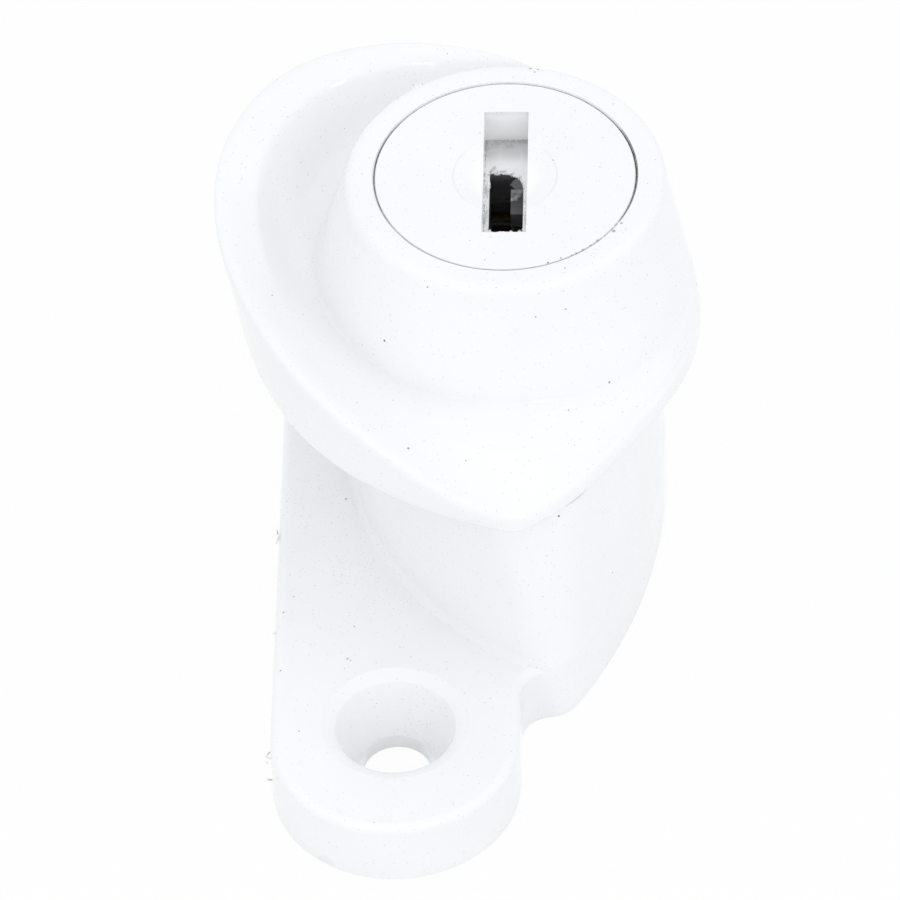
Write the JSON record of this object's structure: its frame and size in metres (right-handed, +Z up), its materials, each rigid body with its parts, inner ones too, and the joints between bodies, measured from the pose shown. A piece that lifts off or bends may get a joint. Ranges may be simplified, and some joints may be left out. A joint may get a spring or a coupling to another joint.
{
  "type": "sliding window lock",
  "caption": "White painted keyed sash lock: a pointed turning knob with a spiral rim on an oval pedestal, over a narrow base with a countersunk screw lug at each end.",
  "frame": {"origin": "midway between the two screw holes, in the mounting plane", "axes": "+Z up, away from the sash the lock is screwed to. +Y along the line of the screw holes, and -Y is the end at the tip of the knob. -X is the straight edge that lies along the meeting edge of the sash."},
  "size_m": [0.0287, 0.063, 0.0264],
  "materials": {
    "white_paint": "gloss white paint on a zinc casting",
    "plug_metal": "gloss white paint on the face, bare grey metal inside the slot",
    "steel": "bright zinc plate",
    "spring_steel": "plain spring steel",
    "brass": "plain pressed brass"
  },
  "bodies": {
    "base": {"base_casting": "white_paint", "stop_pin": "steel", "wave_washer": "spring_steel"},
    "knob": {"knob_casting": "white_paint", "retaining_ring": "spring_steel", "flat_washer": "steel"},
    "key_plug": {"key_plug": "plug_metal", "plug_clip": "spring_steel", "scroll_cam": "steel", "wafer_spring_1": "spring_steel", "wafer_spring_2": "spring_steel", "wafer_spring_3": "spring_steel", "wafer_spring_4": "spring_steel", "wafer_spring_5": "spring_steel"},
    "lock_bolt": {"lock_bolt": "brass"},
    "wafer_1": {"wafer_1": "brass"},
    "wafer_2": {"wafer_2": "brass"},
    "wafer_3": {"wafer_3": "brass"},
    "wafer_4": {"wafer_4": "brass"},
    "wafer_5": {"wafer_5": "brass"}
  },
  "joints": [
    {"name": "knob_turn", "type": "hinge", "parent": "base", "child": "knob", "pos_m": [0.00665, 0, 0.0154], "axis": [0, 0, 1], "range_deg": [0, 180]},
    {"name": "plug_turn", "type": "hinge", "parent": "knob", "child": "key_plug", "pos_m": [0.00665, 0, 0.0264], "axis": [0, 0, 1], "range_deg": [0, 90]},
    {"name": "bolt_slide", "type": "slide", "parent": "knob", "child": "lock_bolt", "axis": [0, -1, 0], "range_m": [0, 0.0014]},
    {"name": "wafer_1_slide", "type": "slide", "parent": "key_plug", "child": "wafer_1", "axis": [0, 1, 0], "range_m": [-0.0005, 0.0005], "stiffness_N_per_m": 40, "deforming": ["wafer_spring_1"]},
    {"name": "wafer_2_slide", "type": "slide", "parent": "key_plug", "child": "wafer_2", "axis": [0, 1, 0], "range_m": [-0.0005, 0.0005], "stiffness_N_per_m": 40, "deforming": ["wafer_spring_2"]},
    {"name": "wafer_3_slide", "type": "slide", "parent": "key_plug", "child": "wafer_3", "axis": [0, 1, 0], "range_m": [-0.0005, 0.0005], "stiffness_N_per_m": 40, "deforming": ["wafer_spring_3"]},
    {"name": "wafer_4_slide", "type": "slide", "parent": "key_plug", "child": "wafer_4", "axis": [0, 1, 0], "range_m": [-0.0005, 0.0005], "stiffness_N_per_m": 40, "deforming": ["wafer_spring_4"]},
    {"name": "wafer_5_slide", "type": "slide", "parent": "key_plug", "child": "wafer_5", "axis": [0, 1, 0], "range_m": [-0.0005, 0.0005], "stiffness_N_per_m": 40, "deforming": ["wafer_spring_5"]}
  ],
  "couplings": [
    {"joint": "bolt_slide", "follows": "plug_turn", "m_per_rad": 0.00089126}
  ]
}
